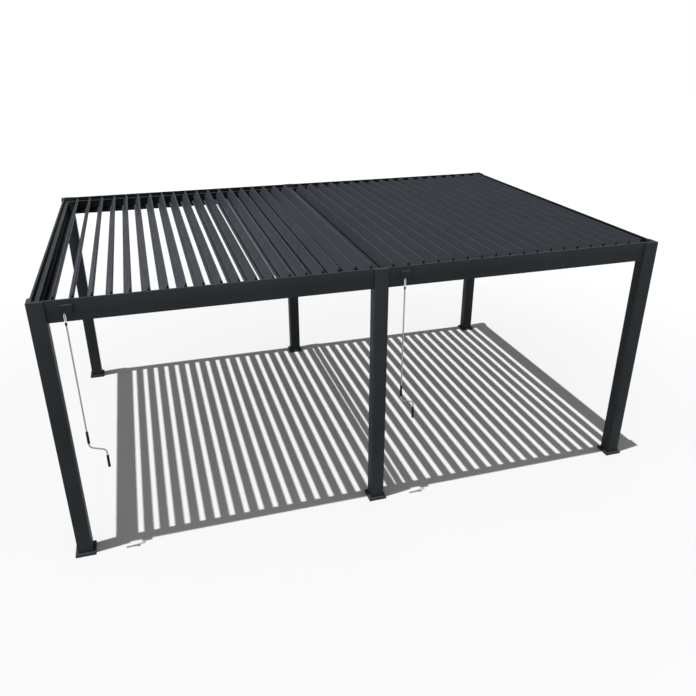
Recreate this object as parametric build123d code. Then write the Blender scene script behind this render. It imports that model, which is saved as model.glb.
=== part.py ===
from build123d import *
import os
from math import hypot

# Louvered pergola with two bays on six posts. Millimetres, +Z up, +X along
# the long side, the cranks on the front at -Y. The origin lies on the ground
# under the middle of the whole pergola, cranks included.

# Frame, outer post faces
frame_length = 5900.0
frame_depth = 3917.0
frame_height = 2520.0

# Posts and their feet
post_size = 130.0
post_wall = 3.0
plate_overhang = 25.0
plate_thickness = 25.0
plate_hole_d = 10.0
plate_hole_edge = 12.5

# Beams: closed boxes with a raised outer lip
beam_inset = 20.0
beam_width = 60.0
beam_wall = 3.0
lip_thickness = 18.0
lip_height = 44.0
post_rim = 38.0

# Flat gutter rails along the inner foot of the outer beams
rail_width = 52.0
side_rail_width = 66.0
rail_height = 31.0
rail_wall = 2.0
rail_fit = 0.3

# Louvre blades: chord runs from the lower lip to the upper tip
blade_count = 19
blade_depth = 23.0
blade_skin = 2.0
blade_overlap = 10.6
tip_flange = 21.3
channel_width = 45.5
tip_bead_r = 2.5
tip_bead_inset = 5.0
cap_thickness = 4.0
web_reach = 5.6
web_drop = 5.0
web_tip_inset = 3.3
blade_end_gap = 5.0
pivot_along = 84.0
rest_angle = 63.9
closed_angle = 3.0

# Louvre pins and their bosses on the end caps
pin_d = 10.0
pin_clearance = 0.05
pin_stick = 5.0
boss_d = 22.0
boss_stick = 2.0

# Room that the turning blades keep
lip_clearance = 7.4
body_clearance = 5.5
field_play = 9.4
closed_rise = 3.3
rail_clearance = 8.2

# Gear boxes on the front beams, with an eye in front of each
gear_width = 86.0
gear_height = 80.0
gear_reach = 30.0
gear_left_of_crank = 23.0
gear_below_ledge = 76.0
gear_edge_r = 4.0
eye_r = 9.5
eye_wire_r = 2.5
eye_stub_r = 4.0
eye_rise = 13.2

# Crank handles: hook loop, coupling, rod with an S bend, two grips
crank_from_post = 144.0
crank_out = 30.0
loop_width = 18.0
loop_height = 63.0
loop_wire_r = 3.0
loop_corner_r = 3.5
loop_rest_gap = 0.3
stud_d = 8.0
stud_length = 28.0
stud_end_gap = 0.5
neck_length = 8.0
coupling_d = 18.0
coupling_length = 25.0
rod_d = 13.0
crank_throw = 133.5
rod_drop = 1175.0
bend_fall = 45.0
bend_r = 40.0
grip_d = 23.0
grip_length = 117.0
grip_above_bend = 42.0
grip_below_bend = 60.0
grip_end_wall = 4.0
grip_edge_r = 2.0

# Places that follow from the sizes
middle_x = frame_length / 2
bay_start = [beam_inset + beam_width, middle_x + beam_width / 2]
bay_clear = middle_x - beam_width / 2 - bay_start[0]
lip_reach = hypot(pivot_along, blade_depth)
pitch_room = (bay_clear - lip_reach - lip_clearance - blade_overlap + tip_flange
              + pivot_along - body_clearance - field_play)
blade_pitch = pitch_room / blade_count
blade_chord = blade_pitch + blade_overlap
body_end = blade_chord - tip_flange
first_pivot = [bay_start[0] + lip_reach + lip_clearance + field_play,
               bay_start[1] + lip_reach + lip_clearance]

ledge_z = frame_height - lip_height
pivot_z = ledge_z - blade_depth + blade_skin + closed_rise
rail_top = pivot_z - lip_reach - rail_clearance
beam_bottom = rail_top - rail_height

inner_face = beam_inset + beam_width
blade_front = inner_face + blade_end_gap
blade_back = frame_depth - blade_front

gear_front_y = beam_inset - gear_reach
gear_bottom = ledge_z - gear_below_ledge
loop_top = gear_bottom + eye_rise
eye_z = loop_top - loop_wire_r + eye_r - eye_wire_r - loop_wire_r - loop_rest_gap
crank_x = [post_size + crank_from_post,
           middle_x + post_size / 2 + crank_from_post]
rod_top = loop_top - loop_height - neck_length
upper_bend_z = rod_top - rod_drop
lower_bend_z = upper_bend_z - bend_fall

# Shift from the outer corner of the front left post to the origin
crank_reach = crank_out + max(grip_d / 2, eye_r + eye_wire_r)
front_reach = max(plate_overhang, crank_reach)
shift_x = -middle_x
shift_y = -(frame_depth + plate_overhang - front_reach) / 2

post_x = [0.0, middle_x - post_size / 2, frame_length - post_size]


def box_between(x0, x1, y0, y1, z0, z1):
    """Box from its six faces."""
    size = Vector(x1 - x0, y1 - y0, z1 - z0)
    middle = Vector((x0 + x1) / 2, (y0 + y1) / 2, (z0 + z1) / 2)
    return Pos(middle) * Box(size.X, size.Y, size.Z)


def outline(points):
    """Flat face from its corner points."""
    return make_face(Polyline(*points, close=True))


def along_x(face, x0, x1):
    """Push a face drawn in Y and Z from x0 to x1."""
    return extrude(Plane.YZ.offset(x0) * face, amount=x1 - x0)


def along_y(face, y0, y1):
    """Push a face drawn in X and Z from y0 to y1."""
    return extrude(Plane.XZ.offset(-y0) * face, amount=y0 - y1)


def place(shape):
    """Move a shape from the post corner frame to the part's own frame."""
    return Pos(shift_x, shift_y, 0) * shape


def write(node, shape):
    """Write one sub-part as parts/NODE.step."""
    moved = place(shape)
    moved.label = node
    export_step(moved, f"parts/{node}.step")


def mirrored(face_points, depth):
    """Turn the front section's points round for the rear side."""
    return [(depth - y, z) for y, z in face_points]


def beam_points(inset):
    """Outer beam section from its outer face, drawn inset by a wall."""
    outer = beam_inset + inset
    inner = inner_face - inset
    lip_inner = beam_inset + lip_thickness - inset
    return [(outer, beam_bottom + inset), (inner, beam_bottom + inset),
            (inner, ledge_z - inset), (lip_inner, ledge_z - inset),
            (lip_inner, frame_height - inset), (outer, frame_height - inset)]


def beam_section(depth=None):
    """Hollow beam section, turned round when a depth is given."""
    skin = beam_points(0)
    hollow = beam_points(beam_wall)
    if depth:
        skin = mirrored(skin, depth)
        hollow = mirrored(hollow, depth)
    return outline(skin) - outline(hollow)


def pivots(bay):
    """X places of the louvre pins of one bay."""
    return [first_pivot[bay] + blade_pitch * i for i in range(blade_count)]


def bores(bay):
    """Pin holes through the inner walls of both beams of one bay."""
    radius = pin_d / 2 + pin_clearance
    holes = []
    for x in pivots(bay):
        hole = Pos(x, 0, pivot_z) * Rot(90, 0, 0) * Cylinder(radius, 2 * beam_wall)
        holes.append(hole)
    return holes


def cross_beam(bay, rear):
    """Front or rear beam of one bay, with its row of pin holes."""
    x0 = post_x[bay] + post_size
    x1 = post_x[bay + 1]
    section = beam_section(frame_depth) if rear else beam_section()
    wall_y = inner_face - beam_wall / 2
    wall_y = frame_depth - wall_y if rear else wall_y
    return along_x(section, x0, x1) - [Pos(0, wall_y, 0) * hole for hole in bores(bay)]


def side_beam(right):
    """Left or right beam between the corner posts."""
    section = beam_section(frame_length) if right else beam_section()
    return along_y(section, post_size, frame_depth - post_size)


def middle_beam():
    """Box beam between the two bays, seated on the middle posts."""
    half = beam_width / 2
    skin = box_between(middle_x - half, middle_x + half, inner_face,
                       frame_depth - inner_face, beam_bottom, ledge_z)
    half -= beam_wall
    hollow = box_between(middle_x - half, middle_x + half, inner_face,
                         frame_depth - inner_face, beam_bottom + beam_wall,
                         ledge_z - beam_wall)
    return skin - hollow


def rail(x0, x1, y0, y1, lengthwise):
    """Hollow rail, open at both ends."""
    skin = box_between(x0, x1, y0, y1, beam_bottom, rail_top)
    dx = 0 if lengthwise else rail_wall
    dy = rail_wall if lengthwise else 0
    hollow = box_between(x0 + dx, x1 - dx, y0 + dy, y1 - dy,
                         beam_bottom + rail_wall, rail_top - rail_wall)
    return skin - hollow


def inner_rails():
    """Front and rear rails of both bays, and side rails between them."""
    made = []
    start = inner_face + rail_fit
    for x0 in bay_start:
        for y0 in (start, frame_depth - start - rail_width):
            made.append(rail(x0 + rail_fit, x0 + bay_clear - rail_fit,
                             y0, y0 + rail_width, True))
    side_y = start + rail_width + rail_fit
    for x0 in (start, frame_length - start - side_rail_width):
        made.append(rail(x0, x0 + side_rail_width, side_y, frame_depth - side_y,
                         False))
    return Compound(children=made)


def post(x_end, y_end):
    """Post with a raised rim on its outer faces and an open inner corner.

    x_end is -1, 0 or 1 for a left, middle or right post, y_end is -1 in
    front and 1 at the rear.
    """
    x0 = post_x[x_end + 1]
    x1 = x0 + post_size
    y0 = 0.0 if y_end < 0 else frame_depth - post_size
    y1 = y0 + post_size
    body = box_between(x0, x1, y0, y1, plate_thickness, frame_height)
    hollow = box_between(x0 + post_wall, x1 - post_wall, y0 + post_wall,
                         y1 - post_wall, plate_thickness, beam_bottom - post_wall)

    # Everything inside the rim stops at the beams' ledge
    rim_x0 = x0 + post_rim if x_end < 0 else x0
    rim_x1 = x1 - post_rim if x_end > 0 else x1
    rim_y0 = y0 + post_rim if y_end < 0 else y0
    rim_y1 = y1 if y_end < 0 else y1 - post_rim
    recess = box_between(rim_x0, rim_x1, rim_y0, rim_y1, ledge_z, frame_height)

    # The inner corner carries the rails and, on a middle post, the beam
    seat_x0 = inner_face if x_end < 0 else x0
    seat_x1 = frame_length - inner_face if x_end > 0 else x1
    seat_y0 = inner_face if y_end < 0 else y0
    seat_y1 = y1 if y_end < 0 else frame_depth - inner_face
    seat = box_between(seat_x0, seat_x1, seat_y0, seat_y1, beam_bottom, frame_height)
    return body - [hollow, recess, seat]


def base_plates():
    """Foot plates of the six posts, each with four anchor holes."""
    size = post_size + 2 * plate_overhang
    reach = size / 2 - plate_hole_edge
    made = []
    for x0 in post_x:
        for y0 in (0.0, frame_depth - post_size):
            spot = Pos(x0 + post_size / 2, y0 + post_size / 2, plate_thickness / 2)
            plate = Box(size, size, plate_thickness)
            hole = Cylinder(plate_hole_d / 2, plate_thickness)
            spots = [Pos(sx * reach, sy * reach, 0) for sx in (-1, 1) for sy in (-1, 1)]
            made.append(spot * (plate - [at * hole for at in spots]))
    return Compound(children=made)


def blade_outline():
    """Blade section lying flat, its pivot at the origin and its tip at +X."""
    lip = -pivot_along
    wall = lip + channel_width + blade_skin
    body = body_end - pivot_along
    tip = blade_chord - pivot_along
    top = blade_depth
    floor = blade_skin
    section = outline([(lip, 0), (body, 0), (body, top - blade_skin),
                       (tip, top - blade_skin), (tip, top), (wall, top),
                       (wall, floor), (lip + blade_skin, floor),
                       (lip + blade_skin, top), (lip, top)])
    bead = Pos(tip - tip_bead_inset, top - blade_skin + tip_bead_r) * Circle(tip_bead_r)
    return section + bead


def blade_hollow():
    """Hollow inside the blade's body."""
    x0 = channel_width + 2 * blade_skin - pivot_along
    x1 = body_end - blade_skin - pivot_along
    return outline([(x0, blade_skin), (x1, blade_skin),
                    (x1, blade_depth - blade_skin), (x0, blade_depth - blade_skin)])


def cap_web():
    """Corner of an end cap between the body's end and the tip flange."""
    body = body_end - pivot_along
    tip = blade_chord - pivot_along
    under = blade_depth - blade_skin
    slope = under / tip_flange
    return outline([(body, 0), (body + web_reach, web_reach * slope),
                    (body + web_reach, under - web_drop),
                    (tip - web_tip_inset, under - web_drop), (tip, under), (body, under)])


def blade():
    """One blade at its rest angle, with its pin line through the origin."""
    turn = Rot(0, 0, rest_angle)
    shell = along_y(turn * blade_outline(), blade_front, blade_back)
    inside = along_y(turn * blade_hollow(), blade_front + cap_thickness,
                     blade_back - cap_thickness)
    whole = shell - inside
    pin_reach = blade_end_gap + beam_wall + pin_stick
    for y_cap, out in ((blade_front, -1), (blade_back, 1)):
        pin = cross_pin(pin_d, y_cap - out * cap_thickness, y_cap + out * pin_reach)
        boss = cross_pin(boss_d, y_cap - out * cap_thickness, y_cap + out * boss_stick)
        web = along_y(turn * cap_web(), min(y_cap, y_cap - out * cap_thickness),
                      max(y_cap, y_cap - out * cap_thickness))
        whole = whole + pin + boss + web
    return whole


def cross_pin(diameter, y0, y1):
    """Round pin along Y through the origin's X and Z."""
    middle = (y0 + y1) / 2
    return Pos(0, middle, 0) * Rot(90, 0, 0) * Cylinder(diameter / 2, abs(y1 - y0))


def gear_boxes():
    """Gear box of each bay with the eye that carries the crank."""
    made = []
    for x in crank_x:
        x0 = x - gear_left_of_crank
        case = box_between(x0, x0 + gear_width, gear_front_y, beam_inset,
                           gear_bottom, gear_bottom + gear_height)
        front_edges = case.edges().filter_by_position(
            Axis.Y, gear_front_y - 0.01, gear_front_y + 0.01)
        case = fillet(front_edges, gear_edge_r)
        eye = Pos(x, -crank_out, eye_z) * Rot(0, 90, 0) * Torus(eye_r, eye_wire_r)
        stub_start = gear_front_y
        stub_end = eye_r - crank_out
        stub = Pos(x, 0, eye_z) * cross_pin(2 * eye_stub_r, stub_start, stub_end)
        made.append(case + stub + eye)
    return Compound(children=made)


def hook(x):
    """Link that hangs in the eye, with the stud that the crank turns on."""
    high = loop_height - 2 * loop_wire_r
    wide = loop_width - 2 * loop_wire_r
    ring = RectangleRounded(wide, high, loop_corner_r)
    middle_z = loop_top - loop_height / 2
    path = (Pos(x, -crank_out, middle_z) * Rot(90, 0, 0) * ring).wire()
    start = Plane(origin=path @ 0, z_dir=path % 0)
    loop = sweep(start * Circle(loop_wire_r), path=path)
    stud_top = loop_top - loop_height + loop_wire_r
    stud_z = stud_top - stud_length / 2
    stud = Pos(x, -crank_out, stud_z) * Cylinder(stud_d / 2, stud_length)
    return loop + stud


def crank_rod(x):
    """Rod from its socket down through the S bend to the lower grip."""
    end_z = lower_bend_z - grip_below_bend - grip_length + grip_end_wall
    path = FilletPolyline((0, rod_top), (0, upper_bend_z), (crank_throw, lower_bend_z),
                          (crank_throw, end_z), radius=bend_r)
    path = Pos(x, -crank_out, 0) * Rot(90, 0, 0) * path
    section = Pos(x, -crank_out, rod_top) * Circle(rod_d / 2)
    rod = sweep(section, path=path)
    stud_end = loop_top - loop_height + loop_wire_r - stud_length
    socket_z = stud_end - stud_end_gap
    socket_length = rod_top - socket_z
    socket = Cylinder(stud_d / 2 + pin_clearance, socket_length)
    return rod - Pos(x, -crank_out, rod_top - socket_length / 2) * socket


def crank_grips(x):
    """Coupling sleeve and the two grips on the rod."""
    bore = Cylinder(rod_d / 2, grip_length)
    sleeve_z = rod_top - coupling_length / 2
    sleeve = Cylinder(coupling_d / 2, coupling_length)
    sleeve = sleeve - Cylinder(rod_d / 2, coupling_length)
    grip = Cylinder(grip_d / 2, grip_length)
    grip = fillet(grip.edges().filter_by(GeomType.CIRCLE), grip_edge_r)
    upper_z = upper_bend_z + grip_above_bend + grip_length / 2
    lower_z = lower_bend_z - grip_below_bend - grip_length / 2
    upper = grip - bore
    lower = grip - Pos(0, 0, grip_end_wall) * bore
    return Compound(children=[Pos(x, -crank_out, sleeve_z) * sleeve,
                              Pos(x, -crank_out, upper_z) * upper,
                              Pos(x + crank_throw, -crank_out, lower_z) * lower])


os.makedirs("parts", exist_ok=True)

sides = ["left", "right"]
post_names = ["left", "middle", "right"]

for i, name in enumerate(post_names):
    write(f"post_front_{name}", post(i - 1, -1))
    write(f"post_rear_{name}", post(i - 1, 1))
write("base_plates", base_plates())

for bay, side in enumerate(sides):
    write(f"front_beam_{side}", cross_beam(bay, False))
    write(f"rear_beam_{side}", cross_beam(bay, True))
    write(f"side_beam_{side}", side_beam(bay == 1))
write("middle_beam", middle_beam())
write("inner_rails", inner_rails())

one_blade = blade()
for bay, side in enumerate(sides):
    for number, x in enumerate(pivots(bay), start=1):
        write(f"{side}_louvre_{number:02d}", Pos(x, 0, pivot_z) * one_blade)

write("gear_boxes", gear_boxes())
for side, x in zip(sides, crank_x):
    write(f"{side}_hook", hook(x))
    write(f"{side}_crank", crank_rod(x))
    write(f"{side}_grips", crank_grips(x))

swing_low = rest_angle - 90
swing_high = rest_angle - closed_angle
print("origin shift", round(shift_x, 2), round(shift_y, 2))
print("blade pitch", round(blade_pitch, 3), "pivot height", round(pivot_z, 2))
print("first pivots", [round(x, 2) for x in first_pivot])
print("beam underside", round(beam_bottom, 2), "rail top", round(rail_top, 2))
print("louvre range", round(swing_low, 2), round(swing_high, 2))
print("crank x", crank_x, "loop pivot z", round(loop_top - loop_wire_r, 2))
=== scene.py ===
# %% [markdown]
# This lesson dresses a garden pergola with a roof of turning louvres. Its
# bodies and sizes come from a packed engineering model. Blender adds what the
# eye looks for: rounded edges on the extrusions, black end caps, a wire hook, a
# bent crank, and coatings that catch the light unevenly.

# %% Load the engineering model
from math import atan, degrees, hypot, pi, radians, tan

import bmesh
import bpy
from mathutils import Matrix, Vector


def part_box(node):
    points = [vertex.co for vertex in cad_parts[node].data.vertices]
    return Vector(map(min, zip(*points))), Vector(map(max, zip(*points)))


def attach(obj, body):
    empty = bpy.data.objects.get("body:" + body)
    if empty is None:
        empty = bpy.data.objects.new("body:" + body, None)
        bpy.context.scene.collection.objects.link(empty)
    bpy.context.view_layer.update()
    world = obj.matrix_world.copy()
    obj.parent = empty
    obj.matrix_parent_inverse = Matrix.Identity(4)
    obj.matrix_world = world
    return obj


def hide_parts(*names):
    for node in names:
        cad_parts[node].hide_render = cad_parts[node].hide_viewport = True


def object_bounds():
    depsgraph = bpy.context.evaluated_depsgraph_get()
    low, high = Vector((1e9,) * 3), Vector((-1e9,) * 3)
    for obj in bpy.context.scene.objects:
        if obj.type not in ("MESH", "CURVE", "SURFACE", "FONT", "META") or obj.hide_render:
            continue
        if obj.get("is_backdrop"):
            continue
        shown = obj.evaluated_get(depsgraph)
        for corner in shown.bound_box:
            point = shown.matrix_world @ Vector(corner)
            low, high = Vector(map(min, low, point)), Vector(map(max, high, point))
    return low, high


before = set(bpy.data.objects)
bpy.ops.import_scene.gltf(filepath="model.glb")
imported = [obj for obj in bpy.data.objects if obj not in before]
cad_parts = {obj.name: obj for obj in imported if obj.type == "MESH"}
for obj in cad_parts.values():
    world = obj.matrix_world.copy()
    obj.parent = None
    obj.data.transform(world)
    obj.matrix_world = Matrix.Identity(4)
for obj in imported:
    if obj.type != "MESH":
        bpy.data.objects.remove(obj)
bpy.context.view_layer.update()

# %% [markdown]
# Every finish here is a coating or a metal with very little pattern, so the
# interest is in small things: cloudy differences in colour, a fine grain that
# breaks up highlights, and faint lines left by the extruder along a profile.
# A short helper that adds a node and sets its values keeps each recipe
# readable. Noise seldom leaves the middle of its range, so that middle is
# spread over the values that a recipe wants.

# %% Helpers for building materials
NOISE_LOW = 0.3
NOISE_HIGH = 0.7


def fresh_material(name):
    """A new material with its node tree and its shader."""
    material = bpy.data.materials.new(name)
    material.use_nodes = True
    tree = material.node_tree
    return material, tree, tree.nodes["Principled BSDF"]


def add_node(tree, kind, settings=None, values=None):
    """Add a node, with its settings and the values on its sockets."""
    node = tree.nodes.new(kind)
    for key, value in (settings or {}).items():
        setattr(node, key, value)
    for key, value in (values or {}).items():
        node.inputs[key].default_value = value
    return node


def object_noise(tree, scale, detail=2.0, stretch=(1.0, 1.0, 1.0)):
    """Noise on the piece's own coordinates, stretched along an axis if asked."""
    place = add_node(tree, "ShaderNodeTexCoord")
    mapping = add_node(tree, "ShaderNodeMapping", values={"Scale": stretch})
    noise = add_node(tree, "ShaderNodeTexNoise", values={"Scale": scale, "Detail": detail})
    tree.links.new(place.outputs["Object"], mapping.inputs["Vector"])
    tree.links.new(mapping.outputs["Vector"], noise.inputs["Vector"])
    return noise.outputs["Fac"]


def remap(tree, value, low, high, bottom=NOISE_LOW, top=NOISE_HIGH):
    """Spread a stretch of a value, or the middle of a noise, over a new range."""
    node = add_node(tree, "ShaderNodeMapRange", values={
        "From Min": bottom, "From Max": top, "To Min": low, "To Max": high})
    tree.links.new(value, node.inputs["Value"])
    return node.outputs["Result"]


def tint(tree, value, first, second):
    """Colour that goes from the first to the second as the value rises."""
    node = add_node(tree, "ShaderNodeMix", {"data_type": "RGBA"})
    node.inputs["A"].default_value = (*first, 1.0)
    node.inputs["B"].default_value = (*second, 1.0)
    tree.links.new(value, node.inputs["Factor"])
    return node.outputs["Result"]


def relief(tree, value, strength, distance, under=None):
    """Bump from a value, laid over another bump if one is given."""
    node = add_node(tree, "ShaderNodeBump",
                    values={"Strength": strength, "Distance": distance})
    tree.links.new(value, node.inputs["Height"])
    if under:
        tree.links.new(under, node.inputs["Normal"])
    return node.outputs["Normal"]


def shade(colour, factor):
    """The same colour, lighter or darker."""
    return tuple(part * factor for part in colour)


# %% [markdown]
# The frame is aluminium with a matt anthracite powder coat. Powder melts into
# a skin with a fine grain of about a millimetre, which speckles the colour a
# little, and the profile's own die lines still show faintly along its length.
# One recipe serves all profiles and takes the direction of the extrusion.
#
# The gutter at the inner foot of the beams lies deep in the shade of the roof and looks
# nearly black. Its coat is the frame's coat darkened, which paints that shade into its
# colour.

# %% Powder coat
CLOUDS_PER_METRE = 1.7
CLOUD_DETAIL = 5.0
PATCHES_PER_METRE = 5 * CLOUDS_PER_METRE
PATCH_DETAIL = 3.0
GRAIN_PER_METRE = 900.0
GRAIN_HEIGHT = 0.00012
GRAIN_RELIEF = 0.6
SPECKLE = 0.14
LINES_PER_METRE = 260.0
LINE_HEIGHT = 0.00008
LINE_RELIEF = 0.25
COAT_ROUGHNESS = 0.5
COAT_SMOOTHER = 0.05
COAT_ROUGHER = 0.06
COAT_SPECULAR = 0.05
DRAWN_OUT = 0.01
LENGTHWISE = {"x": (DRAWN_OUT, 1.0, 1.0), "y": (1.0, DRAWN_OUT, 1.0),
              "z": (1.0, 1.0, DRAWN_OUT), "none": (1.0, 1.0, 1.0)}
ANTHRACITE = (0.049, 0.0565, 0.061)
PAINTED_SHADE_IN_GUTTER = 0.28


def powder_coat(name, colour, direction, cloudy=0.1):
    """Matt coat with clouds of tone, fine grain and faint die lines."""
    material, tree, shader = fresh_material(name)
    clouds = object_noise(tree, CLOUDS_PER_METRE, CLOUD_DETAIL)
    tone = tint(tree, remap(tree, clouds, 0.0, 1.0),
                shade(colour, 1 - cloudy), shade(colour, 1 + cloudy))
    grain = object_noise(tree, GRAIN_PER_METRE)
    speckled = add_node(tree, "ShaderNodeMix",
                        {"data_type": "RGBA", "blend_type": "MULTIPLY"}, {"Factor": 1.0})
    tree.links.new(tone, speckled.inputs["A"])
    tree.links.new(remap(tree, grain, 1 - SPECKLE, 1 + SPECKLE), speckled.inputs["B"])
    tree.links.new(speckled.outputs["Result"], shader.inputs["Base Color"])
    patches = object_noise(tree, PATCHES_PER_METRE, PATCH_DETAIL)
    gloss = remap(tree, patches, COAT_ROUGHNESS - COAT_SMOOTHER,
                  COAT_ROUGHNESS + COAT_ROUGHER)
    tree.links.new(gloss, shader.inputs["Roughness"])
    lines = object_noise(tree, LINES_PER_METRE, stretch=LENGTHWISE[direction])
    lower = relief(tree, lines, LINE_RELIEF, LINE_HEIGHT)
    upper = relief(tree, grain, GRAIN_RELIEF, GRAIN_HEIGHT, lower)
    tree.links.new(upper, shader.inputs["Normal"])
    shader.inputs["Specular IOR Level"].default_value = COAT_SPECULAR
    return material


coat = {way: powder_coat(f"anthracite_coat_{way}", ANTHRACITE, way)
        for way in LENGTHWISE}
# The same coat darkened: painted shade for the gutter and for the beams' inner faces.
painted_shade_coat = powder_coat("painted_shade_coat", shade(ANTHRACITE, PAINTED_SHADE_IN_GUTTER), "none")
print("coats", sorted(coat))

# %% [markdown]
# The louvres have the same kind of coat in a lighter, bluer grey, with fainter clouds,
# since their long faces would show every one. The middle beam lies between the louvres of
# both bays, so it takes their grey, darkened to paint the roof's shade that lies on it
# down there.

# %% Louvre coat
LOUVRE_GREY = (0.087, 0.097, 0.114)
LOUVRE_CLOUDY = 0.05
MIDDLE_BEAM_PAINTED_SHADE = 0.33

louvre_coat = powder_coat("louvre_coat", LOUVRE_GREY, "y", LOUVRE_CLOUDY)
# The louvre grey darkened: painted shade on the middle beam.
middle_painted_shade_coat = powder_coat("middle_beam_painted_shade_coat", shade(LOUVRE_GREY, MIDDLE_BEAM_PAINTED_SHADE), "y")
print("louvre grey", LOUVRE_GREY)

# %% [markdown]
# Caps, sleeves and grips are black moulded plastic. Mould texture is finer
# and deeper than powder, and skin contact polishes it in patches.

# %% Moulded plastic
BLACK = (0.008, 0.008, 0.009)
CAP_BLACK = shade(BLACK, 0.5)
GRIP_BLACK = shade(BLACK, 0.8)
TOUCHES_PER_METRE = 14.0
TOUCH_DETAIL = 3.0
TOUCH_DARKER = 0.85
TOUCH_LIGHTER = 1.2
TOUCH_SMOOTHER = 0.08
TOUCH_ROUGHER = 0.1
SPARK_DETAIL = 3.0
SPARK_HEIGHT = 0.00015
SPARK_RELIEF = 0.4
PLASTIC_SPECULAR = 0.15


def moulded_plastic(name, colour, sparks_per_metre, roughness):
    """Black plastic with a fine spark texture and polished patches."""
    material, tree, shader = fresh_material(name)
    patches = object_noise(tree, TOUCHES_PER_METRE, TOUCH_DETAIL)
    tone = tint(tree, remap(tree, patches, 0.0, 1.0),
                shade(colour, TOUCH_DARKER), shade(colour, TOUCH_LIGHTER))
    tree.links.new(tone, shader.inputs["Base Color"])
    gloss = remap(tree, patches, roughness - TOUCH_SMOOTHER, roughness + TOUCH_ROUGHER)
    tree.links.new(gloss, shader.inputs["Roughness"])
    spark = object_noise(tree, sparks_per_metre, SPARK_DETAIL)
    tree.links.new(relief(tree, spark, SPARK_RELIEF, SPARK_HEIGHT),
                   shader.inputs["Normal"])
    shader.inputs["Specular IOR Level"].default_value = PLASTIC_SPECULAR
    return material


cap_plastic = moulded_plastic("cap_plastic", CAP_BLACK,
                              sparks_per_metre=1100.0, roughness=0.6)
grip_plastic = moulded_plastic("grip_plastic", GRIP_BLACK,
                               sparks_per_metre=700.0, roughness=0.55)

print("plastics", cap_plastic.name, grip_plastic.name)

# %% [markdown]
# The hook and the eyes that carry it are zinc plated steel: slightly blue, with
# the small crystals of the plating breaking up the reflection. Noise would
# make soft clouds of them, so cells with a centre each stand for the crystals.
# The hook is bright and the eyes have gone dull.

# %% Zinc plating
BRIGHT_ZINC = (0.90, 0.91, 0.92)
DULL_ZINC = (0.32, 0.33, 0.35)
FLAKES_PER_METRE = 420.0
FLAKE_TOP = 0.8
FLAKE_DARKER = 0.88
FLAKE_SMOOTHER = 0.06
FLAKE_ROUGHER = 0.08
FLAKE_HEIGHT = 0.0001
FLAKE_RELIEF = 0.15


def plated_steel(name, colour, roughness):
    """Zinc plated steel with small cells of uneven gloss."""
    material, tree, shader = fresh_material(name)
    shader.inputs["Metallic"].default_value = 1.0
    place = add_node(tree, "ShaderNodeTexCoord")
    cells = add_node(tree, "ShaderNodeTexVoronoi", values={"Scale": FLAKES_PER_METRE})
    tree.links.new(place.outputs["Object"], cells.inputs["Vector"])
    flake = cells.outputs["Distance"]
    tone = tint(tree, remap(tree, flake, 0.0, 1.0, 0.0, FLAKE_TOP),
                shade(colour, FLAKE_DARKER), colour)
    tree.links.new(tone, shader.inputs["Base Color"])
    gloss = remap(tree, flake, roughness - FLAKE_SMOOTHER, roughness + FLAKE_ROUGHER,
                  0.0, FLAKE_TOP)
    tree.links.new(gloss, shader.inputs["Roughness"])
    tree.links.new(relief(tree, flake, FLAKE_RELIEF, FLAKE_HEIGHT),
                   shader.inputs["Normal"])
    return material


hook_steel = plated_steel("hook_steel", BRIGHT_ZINC, roughness=0.28)
eye_steel = plated_steel("eye_steel", DULL_ZINC, roughness=0.42)
print("steels", hook_steel.name, eye_steel.name)

# %% [markdown]
# The crank rod is drawn aluminium. The die leaves it satin, with fine lines
# along its length, so the noise is stretched that way, as for the profiles,
# but finer and with less relief.

# %% Drawn aluminium
SATIN_ALUMINIUM = (0.34, 0.345, 0.35)
DRAWS_PER_METRE = 900.0
DRAW_DARKER = 0.9
DRAW_SMOOTHER = 0.05
DRAW_ROUGHER = 0.07
DRAW_HEIGHT = 0.00006
DRAW_RELIEF = 0.2


def drawn_rod(name, colour, roughness):
    """Satin rod with draw lines along its length."""
    material, tree, shader = fresh_material(name)
    shader.inputs["Metallic"].default_value = 1.0
    lines = object_noise(tree, DRAWS_PER_METRE, stretch=LENGTHWISE["z"])
    tone = tint(tree, remap(tree, lines, 0.0, 1.0), shade(colour, DRAW_DARKER), colour)
    tree.links.new(tone, shader.inputs["Base Color"])
    gloss = remap(tree, lines, roughness - DRAW_SMOOTHER, roughness + DRAW_ROUGHER)
    tree.links.new(gloss, shader.inputs["Roughness"])
    tree.links.new(relief(tree, lines, DRAW_RELIEF, DRAW_HEIGHT),
                   shader.inputs["Normal"])
    return material


rod_metal = drawn_rod("rod_metal", SATIN_ALUMINIUM, roughness=0.36)
print("rod", rod_metal.name)

# %% [markdown]
# The engineering solids have knife edges, and nothing real does. Instead of
# building each profile again, a copy of its mesh is merged, cleaned of the
# edges that lie inside flat faces, and its sharp edges are rounded. The
# rounding is about what an extrusion die leaves.

# %% Round the edges of a copied solid
MERGE = 0.00001
FLAT = radians(0.5)
CORNER = radians(35)
EDGE_SEGMENTS = 2


def copied_solid(node):
    """The node's mesh in a new bmesh, merged and with clean flat faces."""
    shape = bmesh.new()
    shape.from_mesh(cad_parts[node].data)
    bmesh.ops.remove_doubles(shape, verts=shape.verts, dist=MERGE)
    bmesh.ops.dissolve_limit(shape, angle_limit=FLAT, verts=shape.verts,
                             edges=shape.edges)
    return shape


def bevel_edges(shape, edges, width, segments):
    """Round the given edges to a quarter of a circle."""
    bmesh.ops.bevel(shape, geom=edges, offset=width, offset_type="OFFSET",
                    segments=segments, profile=0.5, affect="EDGES",
                    clamp_overlap=True, material=-1)


def round_edges(shape, width):
    """Round every edge that is sharper than a corner angle."""
    sharp = [e for e in shape.edges
             if len(e.link_faces) == 2 and e.calc_face_angle(0.0) > CORNER]
    bevel_edges(shape, sharp, width, EDGE_SEGMENTS)


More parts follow.
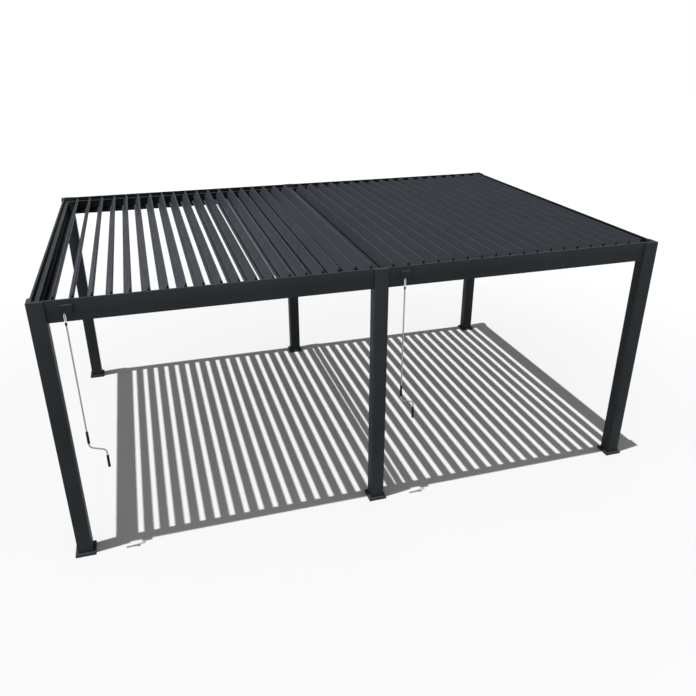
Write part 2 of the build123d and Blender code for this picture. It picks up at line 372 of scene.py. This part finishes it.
def finish_piece(shape, name, body, materials):
    """Turn a bmesh into a piece that rides on a body."""
    mesh = bpy.data.meshes.new(name)
    shape.to_mesh(mesh)
    shape.free()
    for material in materials:
        mesh.materials.append(material)
    return place_mesh(mesh, name, body)


def place_mesh(mesh, name, body):
    """Put a mesh in the scene and shade its gentle edges smoothly."""
    mesh.polygons.foreach_set("use_smooth", [True] * len(mesh.polygons))
    mesh.set_sharp_from_angle(angle=CORNER)
    piece = bpy.data.objects.new(name, mesh)
    bpy.context.scene.collection.objects.link(piece)
    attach(piece, body)
    return piece


# %% [markdown]
# Posts, beams and rails are straight profiles, so each gets the rounding and the coat
# whose die lines run along it. The post corners are rounded most, as a square tube's are.
# The outer beams' inner faces look into the gutter and lie in its shade, which is painted
# on them: they take the darkened gutter coat.

# %% Frame profiles
POST_EDGE = 0.0025
BEAM_EDGE = 0.0012
RAIL_EDGE = 0.0010
PAINTED_SHADE_FACING = 0.9
INWARD = {"front": Vector((0, 1, 0)), "rear": Vector((0, -1, 0)),
          "left": Vector((1, 0, 0)), "right": Vector((-1, 0, 0))}


def rounded_node(node, width, material, inward=None):
    """A node with rounded edges, whose inward faces get the darkened coat of painted
    shade.
    """
    shape = copied_solid(node)
    round_edges(shape, width)
    materials = [material]
    if inward:
        materials.append(painted_shade_coat)
        # Faces that look into the roof get the darkened coat: painted shade.
        for face in shape.faces:
            face.material_index = 1 if face.normal.dot(inward) > PAINTED_SHADE_FACING else 0
    piece = finish_piece(shape, f"{node}_skin", "frame", materials)
    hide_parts(node)


for row in ("front", "rear"):
    for place in ("left", "middle", "right"):
        rounded_node(f"post_{row}_{place}", POST_EDGE, coat["z"])
    for side in ("left", "right"):
        rounded_node(f"{row}_beam_{side}", BEAM_EDGE, coat["x"], inward=INWARD[row])
for side in ("left", "right"):
    rounded_node(f"side_beam_{side}", BEAM_EDGE, coat["y"], inward=INWARD[side])
# The middle beam's darker coat is painted shade.
rounded_node("middle_beam", BEAM_EDGE, middle_painted_shade_coat)
# The gutter rails get the darkened coat all over: painted shade.
rounded_node("inner_rails", RAIL_EDGE, painted_shade_coat)

# %% [markdown]
# Each post stands on a thick foot plate. Its four anchor holes stay open, as
# the anchors come with the ground that the pergola stands on.

# %% Foot plates
PLATE_EDGE = 0.002

rounded_node("base_plates", PLATE_EDGE, coat["none"])

# %% [markdown]
# A louvre is one extruded blade: an open gutter along its low side, a closed
# hollow body, and a thin flange with a bead at its tip. Black caps close the
# ends and carry the pins. All blades are alike, so one is rounded and the
# others are copies of its mesh moved along the roof. The hidden inner walls
# are left out, and a cut near each end gives the caps their own faces.

# %% Louvre blades
BLADE_EDGE = 0.0006
CAP_DEPTH = 0.0045
PIN_BEYOND_BLADE = 0.013
BLADES = 19


def parts_of(shape):
    """Groups of vertices that hang together."""
    left = set(shape.verts)
    groups = []
    while left:
        group = set()
        reach = [left.pop()]
        while reach:
            vert = reach.pop()
            group.add(vert)
            near = {e.other_vert(vert) for e in vert.link_edges} & left
            left -= near
            reach.extend(near)
        groups.append(group)
    return groups


def first_blade(node, walls):
    """The blade's outer skin with a loop cut where each cap ends."""
    shape = copied_solid(node)
    groups = sorted(parts_of(shape), key=lambda group: min(v.co.y for v in group))
    inside = [v for group in groups[1:] for v in group]
    bmesh.ops.delete(shape, geom=inside, context="VERTS")
    round_edges(shape, BLADE_EDGE)
    cuts = (walls[0] + CAP_DEPTH, walls[1] - CAP_DEPTH)
    for cut in cuts:
        everything = shape.verts[:] + shape.edges[:] + shape.faces[:]
        bmesh.ops.bisect_plane(shape, geom=everything,
                               plane_co=(0, cut, 0), plane_no=(0, 1, 0))
    for face in shape.faces:
        y = face.calc_center_median().y
        face.material_index = 0 if cuts[0] <= y <= cuts[1] else 1
    return shape


blade_low, blade_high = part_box("left_louvre_01")
blade_walls = (blade_low.y + PIN_BEYOND_BLADE, blade_high.y - PIN_BEYOND_BLADE)
blade_mesh = bpy.data.meshes.new("left_louvre_01_blade")
blade_shape = first_blade("left_louvre_01", blade_walls)
blade_shape.to_mesh(blade_mesh)
blade_shape.free()
blade_mesh.materials.append(louvre_coat)
blade_mesh.materials.append(cap_plastic)

for side in ("left", "right"):
    for number in range(1, BLADES + 1):
        node = f"{side}_louvre_{number:02d}"
        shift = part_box(node)[0] - blade_low
        mesh = blade_mesh.copy()
        mesh.name = f"{node}_blade"
        mesh.transform(Matrix.Translation(shift))
        blade = place_mesh(mesh, f"{node}_blade", f"{node}_body")
        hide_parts(node)
print("blades", 2 * BLADES, "faces in each", len(blade_mesh.polygons))

# %% [markdown]
# Wire and rod are drawn with one small tool: a ring of vertices that is
# pushed along straight runs and spun round bends. It keeps the section round
# through every bend, as a bending machine does.

# %% Bend a rod
RING_SIDES = 20
BEND_STEP = radians(9)
LEAST_STEPS = 2


class Rod:
    """A round rod that grows from its end by runs and bends."""

    def __init__(self, shape, start, heading, radius):
        """Start with a ring of vertices that faces along the heading."""
        self.shape = shape
        self.heading = heading.normalized()
        turn = self.heading.to_track_quat("Z", "Y").to_matrix().to_4x4()
        made = bmesh.ops.create_circle(
            shape, segments=RING_SIDES, radius=radius,
            matrix=Matrix.Translation(start) @ turn)
        self.centre = start.copy()
        self.ring = list({e for v in made["verts"] for e in v.link_edges})
        self.first = self.ring

    def run(self, length):
        """Go straight on."""
        made = bmesh.ops.extrude_edge_only(self.shape, edges=self.ring)["geom"]
        step = self.heading * length
        verts = [g for g in made if isinstance(g, bmesh.types.BMVert)]
        bmesh.ops.translate(self.shape, verts=verts, vec=step)
        self.ring = [g for g in made if isinstance(g, bmesh.types.BMEdge)
                     and all(v in verts for v in g.verts)]
        self.centre += step

    def bend(self, angle, radius, axis):
        """Turn about an axis that stands square to the heading."""
        inward = axis.cross(self.heading).normalized()
        pivot = self.centre + inward * radius
        verts = {v for e in self.ring for v in e.verts}
        steps = max(LEAST_STEPS, round(angle / BEND_STEP))
        made = bmesh.ops.spin(
            self.shape, geom=self.ring + list(verts), cent=pivot, axis=axis,
            dvec=(0, 0, 0), angle=angle, steps=steps, use_duplicate=False)
        last = made["geom_last"]
        self.ring = [g for g in last if isinstance(g, bmesh.types.BMEdge)]
        spin = Matrix.Rotation(angle, 3, axis)
        self.heading = spin @ self.heading
        self.centre = pivot + spin @ (self.centre - pivot)

    def close_ends(self):
        """Fill both open ends."""
        for ring in (self.first, self.ring):
            bmesh.ops.holes_fill(self.shape, edges=ring, sides=0)


def tidy_normals(shape):
    """Merge doubles and turn all faces outwards."""
    bmesh.ops.remove_doubles(shape, verts=shape.verts, dist=MERGE)
    bmesh.ops.recalc_face_normals(shape, faces=shape.faces)


# %% [markdown]
# A turned piece such as a grip is a profile spun round the rod's axis. The
# profile runs from the top down as radius and height, so collars and grooves
# are only steps in it.

# %% Turn a profile on a lathe
LATHE_SIDES = 32


def turned(shape, axis_at, profile):
    """Spin a profile of radius and height round an upright axis."""
    made = [shape.verts.new((axis_at.x + radius, axis_at.y, height))
            for radius, height in profile]
    edges = [shape.edges.new(pair) for pair in zip(made, made[1:])]
    bmesh.ops.spin(shape, geom=made + edges, cent=axis_at, axis=(0, 0, 1),
                   dvec=(0, 0, 0), angle=2 * pi, steps=LATHE_SIDES, use_merge=True,
                   use_duplicate=False)


# %% [markdown]
# A cast gear box sits on the front beam at the left end of each bay. A casting
# has soft edges, so a plain block gets a wide bevel in front. Its thin cover
# shows only as a groove in the front face, made by insets, and by four low
# screw heads.

# %% Gear box case
GEAR_EDGE = 0.004
GEAR_SEGMENTS = 4
COVER_INSET = 0.007
COVER_GROOVE = 0.0012
SCREW_INSET = 0.013
SCREW_RADIUS = 0.0028
SCREW_FLAT = 0.45
SCREW_SIDES = 12
SCREW_RINGS = 6


def gear_case(shape, low, high):
    """Cast case with rounded front edges and a grooved cover."""
    size = high - low
    made = bmesh.ops.create_cube(shape, size=1.0)["verts"]
    bmesh.ops.scale(shape, verts=made, vec=size)
    bmesh.ops.translate(shape, verts=made, vec=(low + high) / 2)
    front = min(shape.faces, key=lambda f: f.calc_center_median().y)
    bevel_edges(shape, list(front.edges), GEAR_EDGE, GEAR_SEGMENTS)
    cover = min(shape.faces, key=lambda f: f.calc_center_median().y)
    for inset, rise in ((COVER_INSET, 0.0), (COVER_GROOVE, -COVER_GROOVE),
                        (COVER_GROOVE, COVER_GROOVE)):
        bmesh.ops.inset_region(shape, faces=[cover], thickness=inset, depth=rise)


def cover_screw(shape, at):
    """Low round screw head that faces forward."""
    turn = Matrix.Rotation(radians(90), 4, "X")
    bmesh.ops.create_uvsphere(
        shape, u_segments=SCREW_SIDES, v_segments=SCREW_RINGS, radius=SCREW_RADIUS,
        matrix=Matrix.Translation(at) @ turn @ Matrix.Diagonal((1, 1, SCREW_FLAT, 1)))


# %% [markdown]
# A steel eye stands out of the case's front, and the crank's hook hangs in it.
# Its ring is wire bent through a full turn, on a short round stub. The ring's
# height follows from the top of the hook, so that the two wires nearly touch.

# %% Steel eye
EYE_RADIUS = 0.0095
EYE_WIRE_RADIUS = 0.0025
LINK_WIRE_RADIUS = 0.003
STUB_RADIUS = 0.004
WIRE_GAP = 0.0003


def steel_eye(side, hang_at, front_y):
    """Wire ring that the hook hangs in, with the stub that holds the ring."""
    hook_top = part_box(f"{side}_hook")[1].z
    eye_z = hook_top - 2 * LINK_WIRE_RADIUS - WIRE_GAP - EYE_WIRE_RADIUS + EYE_RADIUS
    shape = bmesh.new()
    wire = Rod(shape, Vector((hang_at.x, hang_at.y + EYE_RADIUS, eye_z)),
               Vector((0, 0, 1)), EYE_WIRE_RADIUS)
    wire.bend(2 * pi, EYE_RADIUS, Vector((1, 0, 0)))
    stub = Rod(shape, Vector((hang_at.x, front_y, eye_z)), Vector((0, -1, 0)), STUB_RADIUS)
    stub.run(front_y - hang_at.y - EYE_RADIUS)
    stub.close_ends()
    tidy_normals(shape)
    finish_piece(shape, f"{side}_eye", "frame", [eye_steel])
    print(side, "eye height", round(eye_z, 4))


# %% [markdown]
# Both boxes are alike, and the engineering model has them in one node. So the
# width of a box, and how far its left side is from its hook, are worked out
# from the box round that node and from the two hooks.

# %% Place the gear boxes
GEAR_REACH = 0.030


def middle_of(node):
    """Middle of a node's box."""
    low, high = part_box(node)
    return (low + high) / 2


gear_low, gear_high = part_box("gear_boxes")
gear_back_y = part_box("front_beam_left")[0].y
gear_front_y = gear_back_y - GEAR_REACH
gear_lead = middle_of("left_hook").x - gear_low.x
gear_width = gear_high.x - middle_of("right_hook").x + gear_lead
for side in ("left", "right"):
    hook_at = middle_of(f"{side}_hook")
    left_x = hook_at.x - gear_lead
    low = Vector((left_x, gear_front_y, gear_low.z))
    high = Vector((left_x + gear_width, gear_back_y, gear_high.z))
    case = bmesh.new()
    gear_case(case, low, high)
    for x in (low.x + SCREW_INSET, high.x - SCREW_INSET):
        for z in (low.z + SCREW_INSET, high.z - SCREW_INSET):
            cover_screw(case, Vector((x, gear_front_y, z)))
    box = finish_piece(case, f"{side}_gear_case", "frame", [coat["none"]])
    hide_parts("gear_boxes")
    steel_eye(side, hook_at, gear_front_y)

# %% [markdown]
# The crank hangs from a long wire link that ends in a stud. The link is one
# wire with four runs and four bends, drawn with the rod tool, and the stud is
# a short straight rod below it.

# %% Wire link
LINK_WIDTH = 0.018
LINK_HEIGHT = 0.063
LINK_CORNER = 0.0035
STUD_RADIUS = 0.004


def wire_link(side):
    """Long closed link with the stud below it."""
    low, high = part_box(f"{side}_hook")
    middle = middle_of(f"{side}_hook")
    wide = LINK_WIDTH - 2 * (LINK_WIRE_RADIUS + LINK_CORNER)
    tall = LINK_HEIGHT - 2 * (LINK_WIRE_RADIUS + LINK_CORNER)
    start = Vector((middle.x + LINK_WIDTH / 2 - LINK_WIRE_RADIUS, middle.y,
                    high.z - LINK_WIRE_RADIUS - LINK_CORNER - tall))
    shape = bmesh.new()
    wire = Rod(shape, start, Vector((0, 0, 1)), LINK_WIRE_RADIUS)
    for straight in (tall, wide, tall, wide):
        wire.run(straight)
        wire.bend(pi / 2, LINK_CORNER, Vector((0, -1, 0)))
    foot = high.z - LINK_HEIGHT
    stud = Rod(shape, Vector((middle.x, middle.y, foot + LINK_WIRE_RADIUS)),
               Vector((0, 0, -1)), STUD_RADIUS)
    stud.run(foot + LINK_WIRE_RADIUS - low.z)
    stud.close_ends()
    tidy_normals(shape)
    piece = finish_piece(shape, f"{side}_link", f"{side}_hook_body",
                         [hook_steel])
    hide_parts(f"{side}_hook")


# %% [markdown]
# The rod turns on the link's stud. It runs straight down, bends out and bends
# down again to make the handle. The arm falls a little on its way out, so both
# bends turn by less than a right angle. How far out it goes is read from the
# engineering model.

# %% Bent rod
ROD_RADIUS = 0.0065
BEND_RADIUS = 0.040
UPPER_BEND_DROP = 1.175
LOWER_BEND_FALL = 0.045


def bent_rod(side):
    """Rod with the two bends of the handle. Gives its top and its throw."""
    low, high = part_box(f"{side}_crank")
    axis_x = low.x + ROD_RADIUS
    throw = high.x - low.x - 2 * ROD_RADIUS
    middle_y = (low.y + high.y) / 2
    slope = atan(LOWER_BEND_FALL / throw)
    turn = pi / 2 - slope
    tangent = BEND_RADIUS * tan(turn / 2)
    shape = bmesh.new()
    rod = Rod(shape, Vector((axis_x, middle_y, high.z)), Vector((0, 0, -1)), ROD_RADIUS)
    rod.run(UPPER_BEND_DROP - tangent)
    rod.bend(turn, BEND_RADIUS, Vector((0, -1, 0)))
    rod.run(hypot(throw, LOWER_BEND_FALL) - 2 * tangent)
    rod.bend(turn, BEND_RADIUS, Vector((0, 1, 0)))
    rod.run(rod.centre.z - low.z)
    rod.close_ends()
    tidy_normals(shape)
    piece = finish_piece(shape, f"{side}_rod", f"{side}_crank_body",
                         [rod_metal])
    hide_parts(f"{side}_crank")
    return Vector((axis_x, middle_y, high.z)), throw


# %% [markdown]
# Two black grips sit on the rod, one on the axis and one on the throw, and a
# short sleeve covers the joint with the stud. All three are turned. A grip has
# a collar at each end and shallow grooves between, which give the hand a hold.

# %% Grips and sleeve
GRIP_RADIUS = 0.0115
GRIP_LENGTH = 0.117
GRIP_ROUND = 0.0012
COLLAR_LENGTH = 0.009
GROOVES_FROM_END = 0.012
GROOVES = 9
GROOVE_DEPTH = 0.0010
RIDGE_BELOW_COLLAR = 0.0002
RIDGE_START = 0.3
RIDGE_END = 0.7
SLEEVE_RADIUS = 0.009
SLEEVE_LENGTH = 0.025
SLEEVE_ROUND = 0.001


def grip_profile(top, closed):
    """Grip with a collar at each end and shallow grooves between."""
    r = GRIP_RADIUS
    groove = r - GROOVE_DEPTH
    ridge = r - RIDGE_BELOW_COLLAR
    bottom = top - GRIP_LENGTH
    profile = [(ROD_RADIUS, top), (r - GRIP_ROUND, top), (r, top - GRIP_ROUND),
               (r, top - COLLAR_LENGTH)]
    first = top - GROOVES_FROM_END
    last = bottom + GROOVES_FROM_END
    step = (first - last) / GROOVES
    for i in range(GROOVES):
        z = first - i * step
        profile += [(groove, z), (ridge, z - step * RIDGE_START),
                    (ridge, z - step * RIDGE_END)]
    profile += [(groove, last), (r, bottom + COLLAR_LENGTH), (r, bottom + GRIP_ROUND),
                (r - GRIP_ROUND, bottom)]
    profile.append((0.0 if closed else ROD_RADIUS, bottom))
    return profile


def sleeve_profile(top):
    """Short coupling sleeve with rounded ends."""
    r = SLEEVE_RADIUS
    bottom = top - SLEEVE_LENGTH
    return [(STUD_RADIUS, top), (r - SLEEVE_ROUND, top), (r, top - SLEEVE_ROUND),
            (r, bottom + SLEEVE_ROUND), (r - SLEEVE_ROUND, bottom), (ROD_RADIUS, bottom)]


# %% [markdown]
# Both cranks are made by the same steps. A crank's sleeve and grips are one
# piece, because they are of one plastic and turn together. The upper grip ends
# above the first bend and the lower one starts below the second.

# %% Hang the cranks
GRIP_ABOVE_BEND = 0.042
GRIP_BELOW_BEND = 0.060
UPPER_GRIP_DROP = UPPER_BEND_DROP - GRIP_ABOVE_BEND - GRIP_LENGTH
LOWER_GRIP_DROP = UPPER_BEND_DROP + LOWER_BEND_FALL + GRIP_BELOW_BEND

for side in ("left", "right"):
    wire_link(side)
    rod_top, throw = bent_rod(side)
    on_axis = Vector((rod_top.x, rod_top.y, 0))
    grips = bmesh.new()
    turned(grips, on_axis, sleeve_profile(rod_top.z))
    turned(grips, on_axis, grip_profile(rod_top.z - UPPER_GRIP_DROP, closed=False))
    turned(grips, on_axis + Vector((throw, 0, 0)),
           grip_profile(rod_top.z - LOWER_GRIP_DROP, closed=True))
    tidy_normals(grips)
    piece = finish_piece(grips, f"{side}_grip_sleeves", f"{side}_crank_body",
                         [grip_plastic])
    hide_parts(f"{side}_grips")
    print(side, "crank throw", round(throw, 4))

# %% [markdown]
# The picture shows the pergola on a white floor in clear light from almost
# straight above, so its shadow is a row of stripes. The floor is white to the
# camera but darker to the light that bounces, which keeps the underside of
# the roof as dark as it is in a bright studio with a dull floor. Further out
# the floor glows a little, until it is as white as the sky and its far edge is
# lost.

# %% Floor
FLOOR_HALF = 40.0
FLOOR_SEEN = (0.945, 0.945, 0.945)
FLOOR_IN_BOUNCE = (0.41, 0.41, 0.41)
FLOOR_ROUGHNESS = 0.9
FLOOR_SPECULAR = 0.05
FLOOR_GLOW = 0.12
GLOW_START = 4.5
GLOW_FULL = 12.0
WHITE = (1.0, 1.0, 1.0, 1.0)


def floor_material():
    """Nearly white to the camera, greyer to bounced light, lost in the distance."""
    material, tree, shader = fresh_material("pale_floor")
    path = add_node(tree, "ShaderNodeLightPath")
    mix = add_node(tree, "ShaderNodeMix", {"data_type": "RGBA"})
    mix.inputs["A"].default_value = (*FLOOR_IN_BOUNCE, 1.0)
    mix.inputs["B"].default_value = (*FLOOR_SEEN, 1.0)
    seen = add_node(tree, "ShaderNodeMath", {"operation": "MAXIMUM"})
    tree.links.new(path.outputs["Is Camera Ray"], seen.inputs[0])
    tree.links.new(path.outputs["Is Glossy Ray"], seen.inputs[1])
    tree.links.new(seen.outputs[0], mix.inputs["Factor"])
    tree.links.new(mix.outputs["Result"], shader.inputs["Base Color"])
    shader.inputs["Roughness"].default_value = FLOOR_ROUGHNESS
    shader.inputs["Specular IOR Level"].default_value = FLOOR_SPECULAR

    # The glow grows with the distance from the middle, for the camera alone
    place = add_node(tree, "ShaderNodeTexCoord")
    reach = add_node(tree, "ShaderNodeVectorMath", {"operation": "LENGTH"})
    tree.links.new(place.outputs["Object"], reach.inputs[0])
    fade = remap(tree, reach.outputs["Value"], 0.0, FLOOR_GLOW, GLOW_START, GLOW_FULL)
    glow = add_node(tree, "ShaderNodeMath", {"operation": "MULTIPLY"})
    tree.links.new(fade, glow.inputs[0])
    tree.links.new(path.outputs["Is Camera Ray"], glow.inputs[1])
    shader.inputs["Emission Color"].default_value = WHITE
    tree.links.new(glow.outputs[0], shader.inputs["Emission Strength"])
    return material


floor_shape = bmesh.new()
bmesh.ops.create_grid(floor_shape, x_segments=1, y_segments=1, size=FLOOR_HALF)
floor_mesh = bpy.data.meshes.new("floor")
floor_shape.to_mesh(floor_mesh)
floor_shape.free()
floor_mesh.materials.append(floor_material())
floor = bpy.data.objects.new("floor", floor_mesh)
bpy.context.scene.collection.objects.link(floor)
floor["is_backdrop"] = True
print("floor", 2 * FLOOR_HALF, "m wide")

# %% [markdown]
# The stripes of the shadow have crisp edges, so the light that casts them is
# small and strong. A sun lamp with a small disc gives such a light. It stands
# almost straight above, a little to the left.

# %% Sun
SUN_FROM = Vector((-0.133, -0.02, 1.0))
SUN_STRENGTH = 2.59
SUN_DISC = radians(0.6)

sun_data = bpy.data.lights.new("sun", "SUN")
sun_data.energy = SUN_STRENGTH
sun_data.angle = SUN_DISC
sun = bpy.data.objects.new("sun", sun_data)
sun.rotation_mode = "QUATERNION"
sun.rotation_quaternion = SUN_FROM.to_track_quat("Z", "Y")
bpy.context.scene.collection.objects.link(sun)
sun_lean = SUN_FROM.angle(Vector((0, 0, 1)))
print("sun", round(degrees(sun_lean), 1), "degrees off the vertical")

# %% [markdown]
# The world fills the shade. It is white to the camera and a little dimmer in
# reflections. Everything else gets a much dimmer light from it, which rises
# towards the front left, as from a large window, and a little towards the back
# right.

# %% World
SKY_LIGHT = 0.07
SKY_IN_METAL = 0.75
FILL_FROM = Vector((-0.35, -0.85, 0.35))
FILL_LIGHT = 0.32
BACK_FILL_FROM = Vector((0.85, 0.45, 0.25))
BACK_FILL_LIGHT = 0.08


def light_towards(tree, direction, darkest, brightest):
    """Level that rises towards one direction of the sky."""
    way = add_node(tree, "ShaderNodeTexCoord")
    facing = add_node(tree, "ShaderNodeVectorMath", {"operation": "DOT_PRODUCT"})
    facing.inputs[1].default_value = direction.normalized()
    tree.links.new(way.outputs["Generated"], facing.inputs[0])
    return remap(tree, facing.outputs["Value"], darkest, brightest, 0.0, 1.0)


def studio_world():
    """White world that fills the shade with a dim light from two directions."""
    world = bpy.data.worlds.new("studio")
    world.use_nodes = True
    tree = world.node_tree
    background = tree.nodes["Background"]
    path = add_node(tree, "ShaderNodeLightPath")
    soft = add_node(tree, "ShaderNodeMath", {"operation": "ADD"})
    tree.links.new(light_towards(tree, FILL_FROM, SKY_LIGHT, SKY_LIGHT + FILL_LIGHT),
                   soft.inputs[0])
    tree.links.new(light_towards(tree, BACK_FILL_FROM, 0.0, BACK_FILL_LIGHT),
                   soft.inputs[1])
    level = add_node(tree, "ShaderNodeMix", values={"B": SKY_IN_METAL})
    tree.links.new(path.outputs["Is Glossy Ray"], level.inputs["Factor"])
    tree.links.new(soft.outputs[0], level.inputs["A"])
    shown = add_node(tree, "ShaderNodeMath", {"operation": "MAXIMUM"})
    tree.links.new(path.outputs["Is Camera Ray"], shown.inputs[0])
    tree.links.new(level.outputs["Result"], shown.inputs[1])
    tree.links.new(shown.outputs[0], background.inputs["Strength"])
    background.inputs["Color"].default_value = WHITE
    return world


bpy.context.scene.world = studio_world()
print("light from the sky", SKY_LIGHT, "to", round(SKY_LIGHT + FILL_LIGHT, 2))

# %% [markdown]
# The camera stands in front and to the left of the middle, about four and a
# half metres up, and looks down over the roof. Place, lens and angles were
# worked out from the straight edges of the pergola in the picture.

# %% Camera
CAMERA_AT = Vector((-1.9814, -7.3772, 4.4330))
CAMERA_PITCH = radians(25.0)
CAMERA_YAW = radians(17.0)
LENS_MM = 35.0
SENSOR_MM = 36.0
FARTHEST_SEEN = 200.0

camera_data = bpy.data.cameras.new("camera")
camera_data.lens = LENS_MM
camera_data.sensor_width = SENSOR_MM
camera_data.clip_end = FARTHEST_SEEN
camera = bpy.data.objects.new("camera", camera_data)
camera.location = CAMERA_AT
camera.rotation_euler = (pi / 2 - CAMERA_PITCH, 0.0, -CAMERA_YAW)
bpy.context.scene.collection.objects.link(camera)
bpy.context.scene.camera = camera
bpy.context.scene.view_settings.view_transform = "Standard"
print("camera at", [round(v, 2) for v in CAMERA_AT])

# %% [markdown]
# The last step prints the size of the dressed scene.

# %% Size of the scene
low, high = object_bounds()
print("size of the scene", [round(v, 3) for v in high - low])
